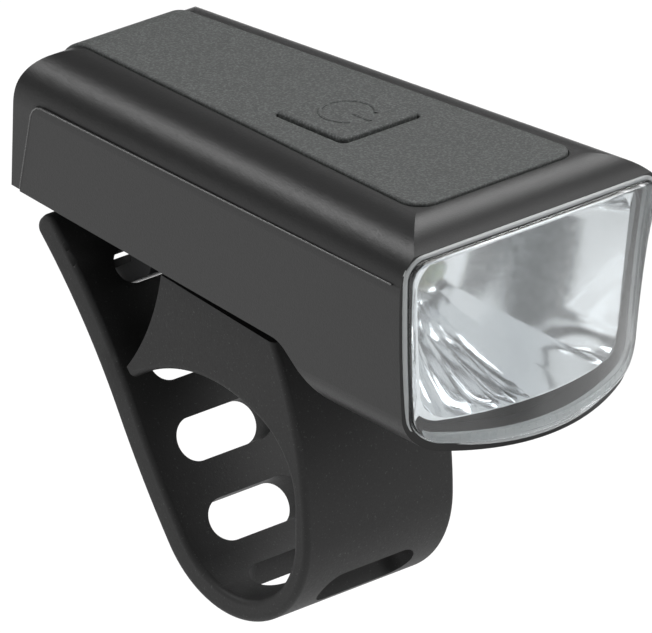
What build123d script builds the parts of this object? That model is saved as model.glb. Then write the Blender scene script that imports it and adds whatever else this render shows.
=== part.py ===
from build123d import *
from math import cos, hypot, radians, sin, sqrt
import os

os.makedirs("parts", exist_ok=True)

# Frame: the handlebar axis is X through the origin, the light shines along -Y and +Z is up.
overrun = 3.0
fit_gap = 0.15
soft_gap = 0.3

# Rubber strap around the handlebar
bar_radius = 11.1
strap_width = 24.8
front_wall = 2.5
bottom_wall = 3.1
split_angle = 55.0
leg_angle = 54.0
leg_mid = (18.4, 8.3)
leg_end = (34.3, 29.6)
tail_round = 1.5
strap_edge_round = 0.8
saddle_rear_round = 0.6
first_slot_reach = 0.5
saddle_arc_top = (6.6, 16.4)
saddle_front_rise = 4.5
saddle_shoulder = (-5.4, 14.0)
saddle_shoulder_mid = (-9.2, 10.6)
saddle_tail = (18.4, 12.2)
saddle_tail_tip = (19.4, 13.4)
saddle_rear_mid = (15.4, 19.8)
saddle_rear_top = (12.9, 27.8)
saddle_front_top = (-7.6, 25.2)
slot_length = 15.4
slot_height = 5.7
slot_pitch = 10.7
loop_slot_angles = (84.0, 141.0)
leg_slot_count = 3
hook_slot_reach = 34.3
hook_slot_length = 13.6
hook_slot_height = 4.8

# Body, seen from above
front_reach = 40.2
rear_reach = 39.4
front_half_width = 21.1
rear_half_width = 15.3
width_line_z = 45.2
side_lean = 0.1
shoulder_radius = 6.6
chin_corner_radius = 5.2
belly_bow = 1.8
section_reach = 8.0

# Body, seen from the side
top_z = 51.3
lip_length = 5.6
lip_drop = 2.35
rear_lean = 3.4
rear_top_radius = 6.5
rear_foot_z = 31.9
flat_front_y = -14.4
flat_front_z = 29.4
belly_rear_y = -21.2
belly_rear_z = 23.6
chin_z = 23.2
chin_start = (-34.5, 22.6)
chin_foot_z = 18.4
chin_radius = 14.0
heel_radius = 4.0
belly_radius = 6.0
rear_corner_radius = 2.2

# Bowed front: straight under the lip, ploughed forward at the chin
bow_base_z = 17.9
bow_forward = 3.6
bow_half_width = 24.0
bow_back = 7.8

# Raised side panels
panel_step = 0.35
panel_top_z = 45.2
panel_rear_top_y = 33.1
panel_rear_foot_y = 37.3
panel_corner_radius = 2.0

# Housing walls
side_wall = 2.0
roof_wall = 2.6
belly_wall = 2.0
pocket_wall = 1.1
shelf_z = 34.6
cover_front_y = -12.6
cover_rear_gap = 2.8
seal_thickness = 0.6
boss_radius = 2.1
screw_radius = 0.9
screw_clearance = 0.05
screw_head_radius = 1.7
screw_head_height = 1.2
slot_cut = 0.4
cover_screw_length = 7.0
boss_depth = 6.5
board_screw_depth = 2.8
boss_inset = 5.7
front_boss_y = -9.6
rear_boss_y = 33.0

# Lens and its seat
lens_rim = 0.9
lens_proud = 0.9
lens_thickness = 2.2
lens_corner_radius = 3.3
lip_thickness = 0.5
lens_round = 0.6
gasket_thickness = 0.7
gasket_width = 0.9

# Reflector and light engine
reflector_back_y = -20.6
reflector_wall = 1.0
bowl_axis_z = 36.6
bowl_mouth_radius = 2.8
bowl_sides = 24
bowl_stations = 5
bowl_flare = 1.5
led_board_size = 15.0
led_board_thickness = 1.0
led_size = 3.4
led_height = 0.7
led_dome_radius = 1.5
sink_width = 18.0
sink_height = 9.4
sink_rise = 2.6
sink_base = 1.8
fin_count = 6
fin_depth = 2.4
fin_thickness = 0.8
fin_pitch = 1.75
engine_screw_x = 7.2
engine_screw_drop = 3.4
engine_pad_depth = 2.4
engine_screw_grip = 1.4

# Rubber pad on top and down the rear face
pad_margin = 7.3
pad_front_inset = 5.9
pad_corner_radius = 3.0
pad_depth = 1.3
pad_proud = 0.4
pad_edge_round = 0.3
flap_top_z = 45.0
flap_foot_z = 37.4
plug_width = 9.6
plug_height = 2.6
plug_margin = 0.75
plug_reach = 0.7

# Power button
button_width = 12.6
button_length = 12.2
button_y = -7.4
button_proud = 0.5
button_round = 0.9
button_edge_round = 0.35
button_travel = 0.4
stem_radius = 2.2

# Circuit board and battery
board_top_z = 45.0
board_thickness = 1.2
board_front_y = -14.8
board_rear_gap = 1.2
board_side_gap = 0.6
board_corner = 0.8
chip_at = (6.0, 12.0)
coil_at = (-5.6, 16.0)
board_screws_at = ((7.4, 28.6), (-7.4, 28.6), (0.0, -12.6))
switch_size = 6.2
switch_height = 2.6
switch_clear = 0.7
plunger_length = 1.5
plunger_radius = 1.6
chip_size = 5.0
chip_height = 0.9
coil_radius = 2.6
coil_sides = 8
coil_height = 2.2
charge_led_width = 1.6
charge_led_length = 0.8
charge_led_height = 0.6
port_width = 9.0
port_height = 3.2
port_depth = 7.3
port_wall = 0.35
port_overhang = 1.2
port_tongue_width = 6.6
port_tongue_height = 0.7
battery_width = 22.0
battery_length = 33.0
battery_height = 7.4
battery_front_y = -7.6
battery_pad_height = 1.0
cell_round = 1.4
pad_inset = 4.0
battery_lead_run = 4.9
wire_radius = 0.38
battery_wire_x = (-5.6, -3.6)
led_wire_x = (4.6, 6.6)
wire_bend = 2.2
plug_block = 4.6
plug_block_height = 2.6

# Mount plate with its hook
plate_half_width = 10.6
plate_rear_y = 26.0
plate_thickness = 2.2
keel_depth = 3.0
keel_width = 13.0
keel_length = 9.0
keel_y = 4.6
plate_screws_at = (-2.0, 19.0)
plate_screw_grip = 2.2
hook_width = 11.0
hook_root = 6.0
hook_thickness = 2.4
hook_reach = 4.2
hook_lip = 1.2
hook_lip_thickness = 1.4
hook_drop = 0.7


def half_width(y):
    """Half width of the body at the width line, narrowing toward the rear."""
    run = (y + front_reach) / (front_reach + rear_reach)
    return front_half_width + (rear_half_width - front_half_width) * run


def section(y, inset, roof, floor, shoulder, corner):
    """Cross section of the body at one station, leaning in toward the chin."""
    width = half_width(y) - inset
    roof_half = width + side_lean * (roof - width_line_z)
    floor_half = width + side_lean * (floor - width_line_z)
    with BuildSketch(Plane.XZ.offset(-y)) as outline:
        with BuildLine():
            Polyline((-floor_half, floor), (-roof_half, roof), (roof_half, roof), (floor_half, floor))
            ThreePointArc((-floor_half, floor), (0, floor - belly_bow), (floor_half, floor))
        make_face()
        fillet(outline.vertices().group_by(Axis.Y)[-1], shoulder)
        fillet(outline.vertices().group_by(Axis.Y)[0], corner)
    return outline.sketch


def tapered_block(inset, roof, floor, shoulder, corner, rear_inset=0):
    """The body's section carried from beyond the chin to beyond the rear."""
    front = section(-front_reach - section_reach, inset, roof, floor, shoulder, corner)
    rear = section(rear_reach + section_reach, inset + rear_inset, roof, floor, shoulder, corner)
    with BuildPart() as block:
        add(front)
        add(rear)
        loft(ruled=True)
    return block.part


def side_prism(inset):
    """The body's side profile, moved in by one wall and carried across its width."""
    lip_start = (-front_reach + lip_length, top_z)
    lip_end = (-front_reach, top_z - lip_drop)
    nose_y = -front_reach - section_reach
    with BuildPart() as prism:
        with BuildSketch(Plane.YZ) as profile:
            with BuildLine():
                lip = TangentArc(lip_start, lip_end, tangent=(-1, 0))
                Polyline(lip @ 1, (nose_y, top_z - lip_drop - section_reach), (nose_y, chin_foot_z))
                FilletPolyline((nose_y, chin_foot_z), chin_start, (belly_rear_y, belly_rear_z),
                               (flat_front_y, flat_front_z), (rear_reach, rear_foot_z),
                               radius=[chin_radius, belly_radius, heel_radius])
                FilletPolyline((rear_reach, rear_foot_z), (rear_reach - rear_lean, top_z), lip_start,
                               radius=rear_top_radius)
            make_face()
            if inset != 0:
                offset(amount=-inset, kind=Kind.INTERSECTION)
        extrude(amount=front_half_width + section_reach, both=True)
    return prism.part


def behind_front(shift):
    """Everything behind the bowed front face, with the face moved back by the shift."""
    straight_y = -front_reach + shift
    back_y = rear_reach + section_reach
    lip_z = top_z - lip_drop
    with BuildPart() as envelope:
        with BuildSketch(Plane.XY.offset(lip_z)) as straight:
            Polygon((-bow_half_width, straight_y), (bow_half_width, straight_y),
                    (bow_half_width, back_y), (-bow_half_width, back_y), align=None)
        with BuildSketch(Plane.XY.offset(bow_base_z)) as bowed:
            with BuildLine():
                side_y = straight_y + bow_back
                ThreePointArc((-bow_half_width, side_y), (0, straight_y - bow_forward),
                              (bow_half_width, side_y))
                Polyline((bow_half_width, side_y), (bow_half_width, back_y),
                         (-bow_half_width, back_y), (-bow_half_width, side_y))
            make_face()
        loft(ruled=True)
        extrude(straight.sketch, amount=top_z)
    return envelope.part


def lens_block(inset):
    """The lens outline carried along the body, narrower than the outer skin by the inset."""
    lens_top = top_z - lip_drop - lip_thickness - inset + lens_rim
    lens_floor = chin_z + inset
    radius = max(lens_corner_radius - inset, fit_gap)
    return tapered_block(inset, lens_top, lens_floor, radius, chin_corner_radius - inset)


pad_front_y = -front_reach + pad_front_inset


def pad_prism(gap):
    """Plan outline of the rubber pad, carried through its full height."""
    front = half_width(pad_front_y) - pad_margin - gap
    rear_y = rear_reach + section_reach
    rear = half_width(rear_y) - pad_margin - gap
    with BuildPart() as prism:
        with BuildSketch(Plane.XY.offset(flap_foot_z + gap)) as plan:
            Polygon((-front, pad_front_y + gap), (front, pad_front_y + gap), (rear, rear_y),
                    (-rear, rear_y), align=None)
            fillet(plan.vertices().group_by(Axis.Y)[0], pad_corner_radius - gap)
        extrude(amount=top_z)
    return prism.part


def rear_plan(inset):
    """Plan outline that rounds the two upright corners at the rear."""
    front_y = -front_reach - section_reach
    rear_y = rear_reach - inset
    front = half_width(front_y) + panel_step - inset
    rear = half_width(rear_y) + panel_step - inset
    with BuildPart() as prism:
        with BuildSketch() as plan:
            Polygon((-front, front_y), (front, front_y), (rear, rear_y), (-rear, rear_y), align=None)
            fillet(plan.vertices().group_by(Axis.Y)[-1], rear_corner_radius - inset)
        extrude(amount=top_z + section_reach)
    return prism.part


def slab(front_y, rear_y, low_z, high_z):
    """A block across the whole body between two stations and two heights."""
    with BuildPart() as block:
        with BuildSketch(Plane.YZ):
            Polygon((front_y, low_z), (rear_y, low_z), (rear_y, high_z), (front_y, high_z), align=None)
        extrude(amount=front_half_width + section_reach, both=True)
    return block.part


def bottom_line(y):
    """Height of the body's flat bottom at one station."""
    return flat_front_z + (rear_foot_z - flat_front_z) * (y - flat_front_y) / (rear_reach - flat_front_y)


def rear_line(z):
    """Station of the body's rear face at one height."""
    return rear_reach - rear_lean * (z - rear_foot_z) / (top_z - rear_foot_z)


def outer_skin():
    """Outer form of the body with its raised side panels."""
    with BuildPart() as panels:
        add(tapered_block(0, top_z, chin_z, shoulder_radius, chin_corner_radius))
        with BuildSketch(Plane.YZ) as outline:
            front_y = -front_reach - section_reach
            Polygon((front_y, panel_top_z), (panel_rear_top_y, panel_top_z),
                    (panel_rear_foot_y, rear_foot_z), (panel_rear_foot_y, 0), (front_y, 0), align=None)
            rear_top = outline.vertices().group_by(Axis.Y)[-1].sort_by(Axis.X)[-1]
            fillet(rear_top, panel_corner_radius)
        extrude(amount=front_half_width + section_reach, both=True, mode=Mode.INTERSECT)
    with BuildPart() as skin:
        add(tapered_block(0, top_z, chin_z, shoulder_radius, chin_corner_radius, panel_step))
        add(panels.part)
        add(side_prism(0), mode=Mode.INTERSECT)
        add(behind_front(0), mode=Mode.INTERSECT)
        add(rear_plan(0), mode=Mode.INTERSECT)
    return skin.part


# Heights and stations that several pieces share
ceiling_z = top_z - roof_wall
cover_top_z = shelf_z - seal_thickness
cover_rear_y = rear_reach - cover_rear_gap
lens_back = lens_thickness - lens_proud
pocket_depth = lens_back + gasket_thickness
pad_floor_z = top_z - pad_depth
pad_top_z = top_z + pad_proud
board_low_z = board_top_z - board_thickness
board_rear_y = rear_reach - side_wall - rear_lean - board_rear_gap
port_z = board_low_z - port_height / 2
boss_stations = (front_boss_y, rear_boss_y)
boss_places = [(side * (half_width(y) - boss_inset), y) for side in (-1, 1) for y in boss_stations]
bore_radius = screw_radius + screw_clearance
engine_screws_at = [(side * engine_screw_x, bowl_axis_z - engine_screw_drop) for side in (-1, 1)]

# Main housing: roof, sides, rear wall and the frame round the lens in one shell
with BuildPart() as cavity:
    add(tapered_block(side_wall, ceiling_z, chin_z + belly_wall, shoulder_radius - side_wall,
                      chin_corner_radius - belly_wall))
    add(side_prism(side_wall), mode=Mode.INTERSECT)
    add(rear_plan(side_wall), mode=Mode.INTERSECT)

with BuildPart() as main_housing:
    add(outer_skin())
    add(cavity.part, mode=Mode.SUBTRACT)
    add(lens_block(lens_rim) - behind_front(pocket_depth), mode=Mode.SUBTRACT)
    add(tapered_block(pocket_wall, top_z, chin_z, shoulder_radius, chin_corner_radius)
        & slab(cover_front_y, cover_rear_y, 0, shelf_z), mode=Mode.SUBTRACT)
    add(pad_prism(0) - side_prism(pad_depth), mode=Mode.SUBTRACT)
    with BuildSketch(Plane.XY.offset(cover_top_z)):
        with Locations(*boss_places):
            Circle(boss_radius)
    extrude(amount=ceiling_z - cover_top_z)
    with BuildSketch(Plane.XY.offset(board_top_z)):
        with Locations(*board_screws_at):
            Circle(boss_radius)
    extrude(amount=ceiling_z - board_top_z)
    with BuildSketch(Plane.XY.offset(cover_top_z)):
        with Locations(*boss_places):
            Circle(bore_radius)
    extrude(amount=boss_depth, mode=Mode.SUBTRACT)
    with BuildSketch(Plane.XY.offset(board_top_z)):
        with Locations(*board_screws_at):
            Circle(bore_radius)
    extrude(amount=board_screw_depth, mode=Mode.SUBTRACT)
    with BuildSketch(Plane.XY.offset(pad_floor_z)):
        with Locations((0, button_y)):
            Circle(stem_radius + soft_gap)
    extrude(amount=-roof_wall, mode=Mode.SUBTRACT)
    with BuildSketch(Plane.XZ.offset(-board_rear_y)):
        with Locations((0, port_z)):
            RectangleRounded(plug_width + 2 * soft_gap, plug_height + 2 * plug_margin, plug_margin)
    extrude(amount=-section_reach, mode=Mode.SUBTRACT)
main_housing.part.label = "main_housing"

# Bottom cover, plugged into the housing from below
with BuildPart() as bottom_cover:
    add(tapered_block(pocket_wall + fit_gap, top_z, chin_z, shoulder_radius, chin_corner_radius))
    add(slab(cover_front_y + fit_gap, cover_rear_y - fit_gap, 0, cover_top_z), mode=Mode.INTERSECT)
    add(side_prism(0), mode=Mode.INTERSECT)
    for x, y in boss_places:
        with BuildSketch(Plane.XY.offset(bottom_line(y) - overrun)):
            with Locations((x, y)):
                Circle(screw_head_radius + fit_gap)
        extrude(amount=overrun + screw_head_height, mode=Mode.SUBTRACT)
        with BuildSketch(Plane.XY.offset(bottom_line(y))):
            with Locations((x, y)):
                Circle(bore_radius)
        extrude(amount=section_reach, mode=Mode.SUBTRACT)
    for y in plate_screws_at:
        with BuildSketch(Plane.XY.offset(bottom_line(y) - overrun)):
            with Locations((0, y)):
                Circle(bore_radius)
        extrude(amount=overrun + plate_screw_grip, mode=Mode.SUBTRACT)
bottom_cover.part.label = "bottom_cover"

# Seal between the cover's rim and the shelf inside the housing
with BuildPart() as cover_seal:
    add(tapered_block(pocket_wall + fit_gap, top_z, chin_z, shoulder_radius, chin_corner_radius))
    add(slab(cover_front_y + fit_gap, cover_rear_y - fit_gap, cover_top_z, shelf_z), mode=Mode.INTERSECT)
    add(tapered_block(side_wall, top_z, chin_z, shoulder_radius, chin_corner_radius)
        & slab(cover_front_y + side_wall - pocket_wall, cover_rear_y - side_wall + pocket_wall, 0, top_z),
        mode=Mode.SUBTRACT)
cover_seal.part.label = "cover_seal"


def screw(head_z, x, y, length, up=1):
    """A pan-head screw whose head starts at one height and whose shank runs up from it."""
    with BuildPart() as body:
        with BuildSketch(Plane.XY.offset(head_z)):
            with Locations((x, y)):
                Circle(screw_head_radius)
        extrude(amount=up * screw_head_height)
        with BuildSketch(Plane.XY.offset(head_z + up * screw_head_height)):
            with Locations((x, y)):
                Circle(screw_radius)
        extrude(amount=up * length)
        with BuildSketch(Plane.XY.offset(head_z)):
            with Locations((x, y)):
                Rectangle(screw_radius * 2, slot_cut)
                Rectangle(slot_cut, screw_radius * 2)
        extrude(amount=up * slot_cut, mode=Mode.SUBTRACT)
    return body.part


with BuildPart() as cover_screws:
    for x, y in boss_places:
        add(screw(bottom_line(y), x, y, cover_screw_length))
cover_screws.part.label = "cover_screws"

with BuildPart() as board_screws:
    for x, y in board_screws_at:
        add(screw(board_low_z - screw_head_height, x, y, board_thickness + board_screw_depth - fit_gap))
board_screws.part.label = "board_screws"

# Clear lens, proud of the frame, and the gasket behind its rim
with BuildPart() as lens:
    add(lens_block(lens_rim + fit_gap))
    add(behind_front(-lens_proud), mode=Mode.INTERSECT)
    add(behind_front(lens_back), mode=Mode.SUBTRACT)
    fillet(lens.faces().sort_by(Axis.Y)[0].edges(), lens_round)
lens.part.label = "lens"

with BuildPart() as lens_gasket:
    add(lens_block(lens_rim + fit_gap))
    add(behind_front(lens_back), mode=Mode.INTERSECT)
    add(behind_front(pocket_depth), mode=Mode.SUBTRACT)
    add(lens_block(lens_rim + fit_gap + gasket_width), mode=Mode.SUBTRACT)
lens_gasket.part.label = "lens_gasket"


def rim_reach(angle):
    """Distance from the lamp's axis to the rim of the bowl in one direction."""
    across, up = abs(cos(angle)), sin(angle)
    half = half_width(-front_reach) - side_wall - reflector_wall - fit_gap
    middle_half = half + side_lean * (bowl_axis_z - width_line_z)
    reach = middle_half / max(across - side_lean * up, side_lean)
    if up > 0:
        reach = min(reach, (ceiling_z - fit_gap - reflector_wall - bowl_axis_z) / up)
    if up < 0:
        reach = min(reach, (bowl_axis_z - chin_z - belly_wall - fit_gap - reflector_wall) / -up)
    return reach


def bowl(extra):
    """Faceted bowl that flares from the lamp to the corners of the opening."""
    depth = front_reach + reflector_back_y
    with BuildPart() as form:
        for step in range(bowl_stations + 2):
            rise = min(step / bowl_stations, 1)
            station = depth * rise ** bowl_flare
            if step > bowl_stations:
                station = depth + section_reach
            corners = []
            for side in range(bowl_sides):
                angle = radians(360 * side / bowl_sides)
                reach = bowl_mouth_radius + (rim_reach(angle) - bowl_mouth_radius) * rise + extra
                corners.append((reach * cos(angle), bowl_axis_z + reach * sin(angle)))
            with BuildSketch(Plane.XZ.offset(station - reflector_back_y)):
                Polygon(*corners, align=None)
        loft(ruled=True)
    return form.part


def engine_pad():
    """Flat plate on the back of the bowl, which takes the lamp board and its screws."""
    with BuildPart() as pad:
        with BuildSketch(Plane.XZ.offset(-reflector_back_y)):
            with Locations((0, bowl_axis_z)):
                RectangleRounded(sink_width, led_board_size, pad_corner_radius)
        extrude(amount=engine_pad_depth)
    return pad.part


with BuildPart() as reflector:
    add(tapered_block(side_wall + fit_gap, ceiling_z - fit_gap, chin_z + belly_wall + fit_gap,
                      shoulder_radius - side_wall, chin_corner_radius - belly_wall))
    add(side_prism(side_wall + fit_gap), mode=Mode.INTERSECT)
    add(behind_front(pocket_depth + fit_gap), mode=Mode.INTERSECT)
    add(slab(-front_reach - section_reach, reflector_back_y, 0, top_z), mode=Mode.INTERSECT)
    add(bowl(reflector_wall) + engine_pad(), mode=Mode.INTERSECT)
    add(bowl(0), mode=Mode.SUBTRACT)
    with BuildSketch(Plane.XZ.offset(-reflector_back_y)):
        with Locations(*engine_screws_at):
            Circle(bore_radius)
    extrude(amount=engine_screw_grip, mode=Mode.SUBTRACT)
reflector.part.label = "reflector"

# Lamp board, lamp and heat sink, screwed to the back of the reflector
with BuildPart() as led_board:
    with BuildSketch(Plane.XZ.offset(-reflector_back_y)):
        with Locations((0, bowl_axis_z)):
            RectangleRounded(sink_width, led_board_size, board_corner)
        with Locations(*engine_screws_at):
            Circle(bore_radius, mode=Mode.SUBTRACT)
    extrude(amount=-led_board_thickness)
led_board.part.label = "led_board"

with BuildPart() as led_emitter:
    with BuildSketch(Plane.XZ.offset(-reflector_back_y)):
        with Locations((0, bowl_axis_z)):
            Rectangle(led_size, led_size)
    extrude(amount=led_height)
    with Locations((0, reflector_back_y - led_height, bowl_axis_z)):
        Sphere(led_dome_radius)
    add(slab(-front_reach, reflector_back_y, 0, top_z), mode=Mode.INTERSECT)
led_emitter.part.label = "led_emitter"

sink_front_y = reflector_back_y + led_board_thickness
sink_back_y = sink_front_y + sink_base
sink_foot_z = bowl_axis_z - led_board_size / 2 + sink_rise
with BuildPart() as heat_sink:
    with BuildSketch(Plane.XZ.offset(-sink_front_y)):
        with Locations((0, sink_foot_z + sink_height / 2)):
            Rectangle(sink_width, sink_height)
        with Locations(*engine_screws_at):
            Circle(bore_radius, mode=Mode.SUBTRACT)
    extrude(amount=-sink_base)
    with BuildSketch(Plane.XZ.offset(-sink_back_y)):
        with Locations((0, sink_foot_z + sink_height / 2)):
            with GridLocations(fin_pitch, 0, fin_count, 1):
                Rectangle(fin_thickness, sink_height)
    extrude(amount=-fin_depth)
heat_sink.part.label = "heat_sink"

with BuildPart() as engine_screws:
    for x, z in engine_screws_at:
        with BuildSketch(Plane.XZ.offset(-sink_back_y)):
            with Locations((x, z)):
                Circle(screw_head_radius)
        extrude(amount=-screw_head_height)
        with BuildSketch(Plane.XZ.offset(-sink_back_y)):
            with Locations((x, z)):
                Circle(screw_radius)
        extrude(amount=sink_base + led_board_thickness + engine_screw_grip - fit_gap)
engine_screws.part.label = "engine_screws"

# Main circuit board and what is soldered to it
with BuildPart() as main_board:
    with BuildSketch(Plane.XY.offset(board_low_z)) as outline:
        front = half_width(board_front_y) - side_wall - board_side_gap
        rear = half_width(board_rear_y) - side_wall - board_side_gap
        Polygon((-front, board_front_y), (front, board_front_y), (rear, board_rear_y),
                (-rear, board_rear_y), align=None)
        fillet(outline.vertices(), board_corner)
        with Locations(*boss_places):
            Circle(boss_radius + soft_gap, mode=Mode.SUBTRACT)
        with Locations(*board_screws_at):
            Circle(bore_radius, mode=Mode.SUBTRACT)
    extrude(amount=board_thickness)
main_board.part.label = "main_board"

with BuildPart() as driver_chip:
    with BuildSketch(Plane.XY.offset(board_top_z)):
        with Locations(chip_at):
            Rectangle(chip_size, chip_size)
    extrude(amount=chip_height)
driver_chip.part.label = "driver_chip"

with BuildPart() as driver_coil:
    with BuildSketch(Plane.XY.offset(board_top_z)):
        with Locations(coil_at):
            RegularPolygon(coil_radius, coil_sides)
    extrude(amount=coil_height)
driver_coil.part.label = "driver_coil"

switch_top_z = board_top_z + switch_height
stem_foot_z = switch_top_z + switch_clear
plunger_foot_z = stem_foot_z - plunger_length
with BuildPart() as tact_switch:
    with BuildSketch(Plane.XY.offset(board_top_z)):
        with Locations((0, button_y)):
            Rectangle(switch_size, switch_size)
    extrude(amount=switch_height)
    with BuildSketch(Plane.XY.offset(plunger_foot_z - button_travel - fit_gap)):
        with Locations((0, button_y)):
            Circle(plunger_radius + fit_gap)
    extrude(amount=switch_height, mode=Mode.SUBTRACT)
tact_switch.part.label = "tact_switch"

with BuildPart() as switch_plunger:
    with BuildSketch(Plane.XY.offset(plunger_foot_z)):
        with Locations((0, button_y)):
            Circle(plunger_radius)
    extrude(amount=plunger_length)
switch_plunger.part.label = "switch_plunger"

with BuildPart() as charge_led:
    with BuildSketch(Plane.XY.offset(board_top_z)):
        with Locations((0, button_y + switch_size)):
            Rectangle(charge_led_width, charge_led_length)
    extrude(amount=charge_led_height)
charge_led.part.label = "charge_led"

with BuildPart() as usb_port:
    with BuildSketch(Plane.XZ.offset(-board_rear_y + port_depth - port_overhang)):
        with Locations((0, port_z)):
            RectangleRounded(port_width, port_height, port_height / 2 - port_wall)
    extrude(amount=-port_depth)
    with BuildSketch(Plane.XZ.offset(-board_rear_y - port_overhang)):
        with Locations((0, port_z)):
            RectangleRounded(port_width - 2 * port_wall, port_height - 2 * port_wall,
                             port_height / 2 - 2 * port_wall)
    extrude(amount=port_depth - port_wall, mode=Mode.SUBTRACT)
    with BuildSketch(Plane.XZ.offset(-board_rear_y - port_overhang + port_wall)):
        with Locations((0, port_z)):
            Rectangle(port_tongue_width, port_tongue_height)
    extrude(amount=port_depth - port_wall)
usb_port.part.label = "usb_port"

# Battery on its foam pad, held by the cover
with BuildPart() as battery_pad:
    with BuildSketch(Plane.XY.offset(cover_top_z)):
        with Locations((0, battery_front_y + battery_length / 2)):
            Rectangle(battery_width - pad_inset, battery_length - pad_inset)
    extrude(amount=battery_pad_height)
battery_pad.part.label = "battery_pad"

with BuildPart() as battery_cell:
    with BuildSketch(Plane.XZ.offset(-battery_front_y)) as face:
        with Locations((0, cover_top_z + battery_pad_height + battery_height / 2)):
            RectangleRounded(battery_width, battery_height, cell_round)
    extrude(amount=-battery_length)
battery_cell.part.label = "battery_cell"

# Leads: two from the battery up to the board, two straight from the lamp board to its connector
battery_lead_z = cover_top_z + battery_pad_height + battery_height / 2
with BuildPart() as battery_leads:
    for x in battery_wire_x:
        with BuildLine() as route:
            FilletPolyline((x, battery_front_y, battery_lead_z),
                           (x, battery_front_y - battery_lead_run, battery_lead_z),
                           (x, battery_front_y - battery_lead_run, board_low_z), radius=wire_bend)
        with BuildSketch(Plane(route.line @ 0, z_dir=route.line % 0)):
            Circle(wire_radius)
        sweep(path=route.line)
battery_leads.part.label = "battery_leads"

led_lead_z = board_low_z - plug_block_height / 2
with BuildPart() as led_connector:
    with BuildSketch(Plane.XY.offset(board_low_z)):
        with Locations(((led_wire_x[0] + led_wire_x[1]) / 2, board_front_y + plug_block / 2)):
            Rectangle(plug_block, plug_block)
    extrude(amount=-plug_block_height)
led_connector.part.label = "led_connector"

with BuildPart() as led_leads:
    for x in led_wire_x:
        with BuildSketch(Plane.XZ.offset(-sink_front_y)):
            with Locations((x, led_lead_z)):
                Circle(wire_radius)
    extrude(amount=sink_front_y - board_front_y)
led_leads.part.label = "led_leads"

# Rubber pad over the roof, the flap that carries it down the rear face, and the button
flap_hinge_y = rear_line(flap_top_z) + pad_proud
with BuildPart() as rubber:
    add(pad_prism(fit_gap))
    add(side_prism(-pad_proud), mode=Mode.INTERSECT)
    add(side_prism(pad_depth), mode=Mode.SUBTRACT)

with BuildPart() as top_pad:
    add(rubber.part)
    add(slab(pad_front_y, rear_reach + overrun, flap_top_z, top_z + overrun), mode=Mode.INTERSECT)
    with BuildSketch(Plane.XY.offset(pad_floor_z - overrun)):
        with Locations((0, button_y)):
            RectangleRounded(button_width + 2 * fit_gap, button_length + 2 * fit_gap, button_round)
    extrude(amount=2 * overrun + pad_depth, mode=Mode.SUBTRACT)
    roof_face = top_pad.faces().filter_by(Axis.Z).group_by(Axis.Z)[-1][0]
    fillet(roof_face.edges(), pad_edge_round)
top_pad.part.label = "top_pad"

with BuildPart() as usb_flap:
    add(rubber.part)
    add(slab(0, rear_reach + overrun, flap_foot_z, flap_top_z), mode=Mode.INTERSECT)
    with BuildSketch(Plane.XZ.offset(-rear_line(port_z) + pad_depth + plug_reach)):
        with Locations((0, port_z)):
            RectangleRounded(plug_width, plug_height, plug_margin)
    extrude(amount=-plug_reach - pad_depth)
usb_flap.part.label = "usb_flap"

with BuildPart() as power_button:
    with BuildSketch(Plane.XY.offset(pad_floor_z + button_travel + fit_gap)):
        with Locations((0, button_y)):
            RectangleRounded(button_width, button_length, button_round)
    extrude(amount=pad_top_z + button_proud - pad_floor_z - button_travel - fit_gap)
    with BuildSketch(Plane.XY.offset(stem_foot_z)):
        with Locations((0, button_y)):
            Circle(stem_radius)
    extrude(amount=pad_top_z - stem_foot_z)
    fillet(power_button.faces().sort_by(Axis.Z)[-1].edges(), button_edge_round)
power_button.part.label = "power_button"


def offset_point(point, direction, distance):
    """A point moved along a direction."""
    return (point[0] + direction[0] * distance, point[1] + direction[1] * distance)


def on_circle(radius, angle, center_y=0):
    """A point on a circle round the handlebar axis, by its angle below the rear."""
    return (center_y + radius * cos(radians(angle)), -radius * sin(radians(angle)))


# Strap: an outer circle set back from the bar's gives a thin front and a thicker rear wall
outer_radius = bar_radius + bottom_wall
outer_shift = bottom_wall - front_wall
seam = (cos(radians(split_angle)), -sin(radians(split_angle)))
seam_reach = outer_shift * seam[0] + sqrt(outer_radius ** 2 - (outer_shift * seam[1]) ** 2)
seam_inner = offset_point((0, 0), seam, bar_radius)
seam_outer = offset_point((0, 0), seam, seam_reach)
bend_angle = 90 - leg_angle
bend_middle = (split_angle + bend_angle) / 2
bend_inner = on_circle(bar_radius, bend_angle)
bend_outer = on_circle(outer_radius, bend_angle, outer_shift)
leg_wall = outer_radius + outer_shift * cos(radians(bend_angle)) - bar_radius
leg_start_tangent = (cos(radians(leg_angle)), sin(radians(leg_angle)))
leg_lower = TangentArc(bend_inner, leg_mid, tangent=leg_start_tangent)
leg_mid_tangent = leg_lower % 1
leg_upper = TangentArc(leg_mid, leg_end, tangent=leg_mid_tangent)
leg_end_tangent = leg_upper % 1
leg_mid_outer = offset_point(leg_mid, (leg_mid_tangent.Y, -leg_mid_tangent.X), leg_wall)
leg_end_outer = offset_point(leg_end, (leg_end_tangent.Y, -leg_end_tangent.X), leg_wall)


def side_edges(piece, near, far):
    """Curved edges of both side faces whose middles lie between two distances from the bar's axis."""
    found = ShapeList()
    for edge in piece.edges().filter_by(GeomType.CIRCLE):
        middle = edge @ 0.5
        on_side = abs(abs(middle.X) - strap_width / 2) < fit_gap
        if on_side and near < hypot(middle.Y, middle.Z) < far:
            found.append(edge)
    return found


def slot_cutter(origin, normal, length, height):
    """A rounded slot through the strap, square to its face."""
    with BuildPart() as cutter:
        with BuildSketch(Plane((0, *origin), x_dir=(1, 0, 0), z_dir=(0, *normal))):
            SlotOverall(length, height)
        extrude(amount=bottom_wall + overrun, both=True)
    return cutter.part


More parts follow.
